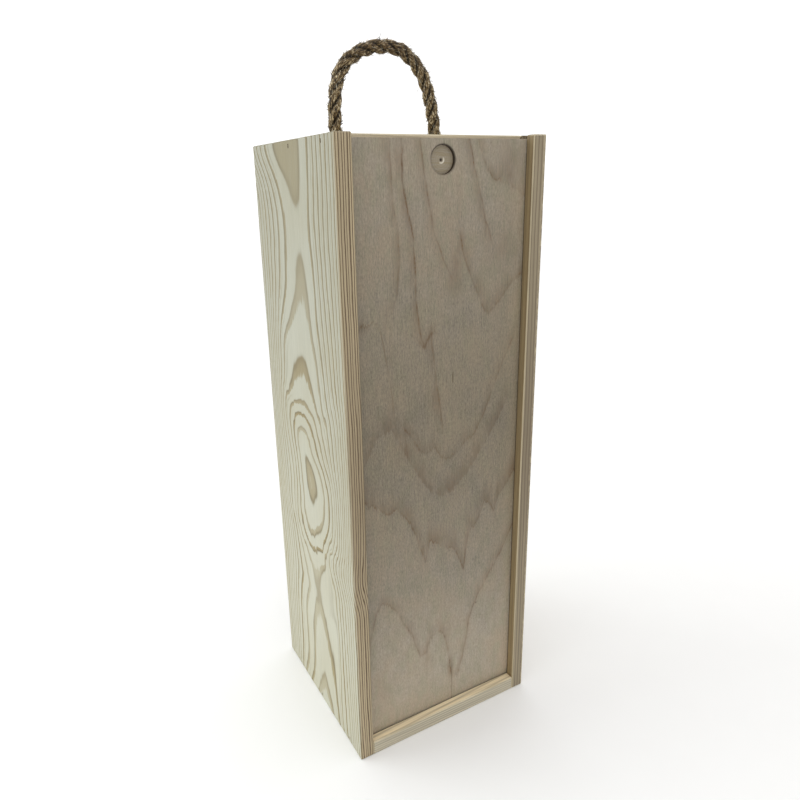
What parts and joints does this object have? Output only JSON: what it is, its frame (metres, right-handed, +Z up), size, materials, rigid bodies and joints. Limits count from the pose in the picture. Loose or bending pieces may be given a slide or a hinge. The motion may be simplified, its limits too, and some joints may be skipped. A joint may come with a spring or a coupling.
{
  "type": "wine box",
  "caption": "Upright wooden box for one wine bottle, with a plywood lid that slides up out of grooves, a blind finger recess and a knotted rope handle.",
  "frame": {"origin": "middle of the base, on the surface that the box stands on", "axes": "+Z up along the height, the lid faces -Y, +X to the viewer's right when facing the lid"},
  "size_m": [0.122, 0.114, 0.4022],
  "materials": {
    "pine": "planed and sanded, unfinished",
    "plywood": "sanded birch face veneer, unfinished",
    "rope": "three-strand twisted plant fibre, hairy",
    "brads": "dull wire"
  },
  "bodies": {
    "box": {"side_board_left": "pine", "side_board_right": "pine", "top_board": "pine", "bottom_board": "pine", "back_panel": "plywood", "brads_left_top": "brads", "brads_left_bottom": "brads", "brads_right_top": "brads", "brads_right_bottom": "brads", "rope_end_left": "rope", "rope_end_right": "rope"},
    "lid": {"sliding_lid": "plywood"},
    "handle": {"rope_handle": "rope"}
  },
  "joints": [
    {"name": "lid_slide", "type": "slide", "parent": "box", "child": "lid", "axis": [0, 0, 1], "range_m": [0, 0.36]},
    {"name": "handle_bend", "type": "hinge", "parent": "box", "child": "handle", "pos_m": [0, 0.00515, 0.35405], "axis": [1, 0, 0], "range_deg": [-90, 90], "stiffness_Nm_per_rad": 0.02}
  ]
}
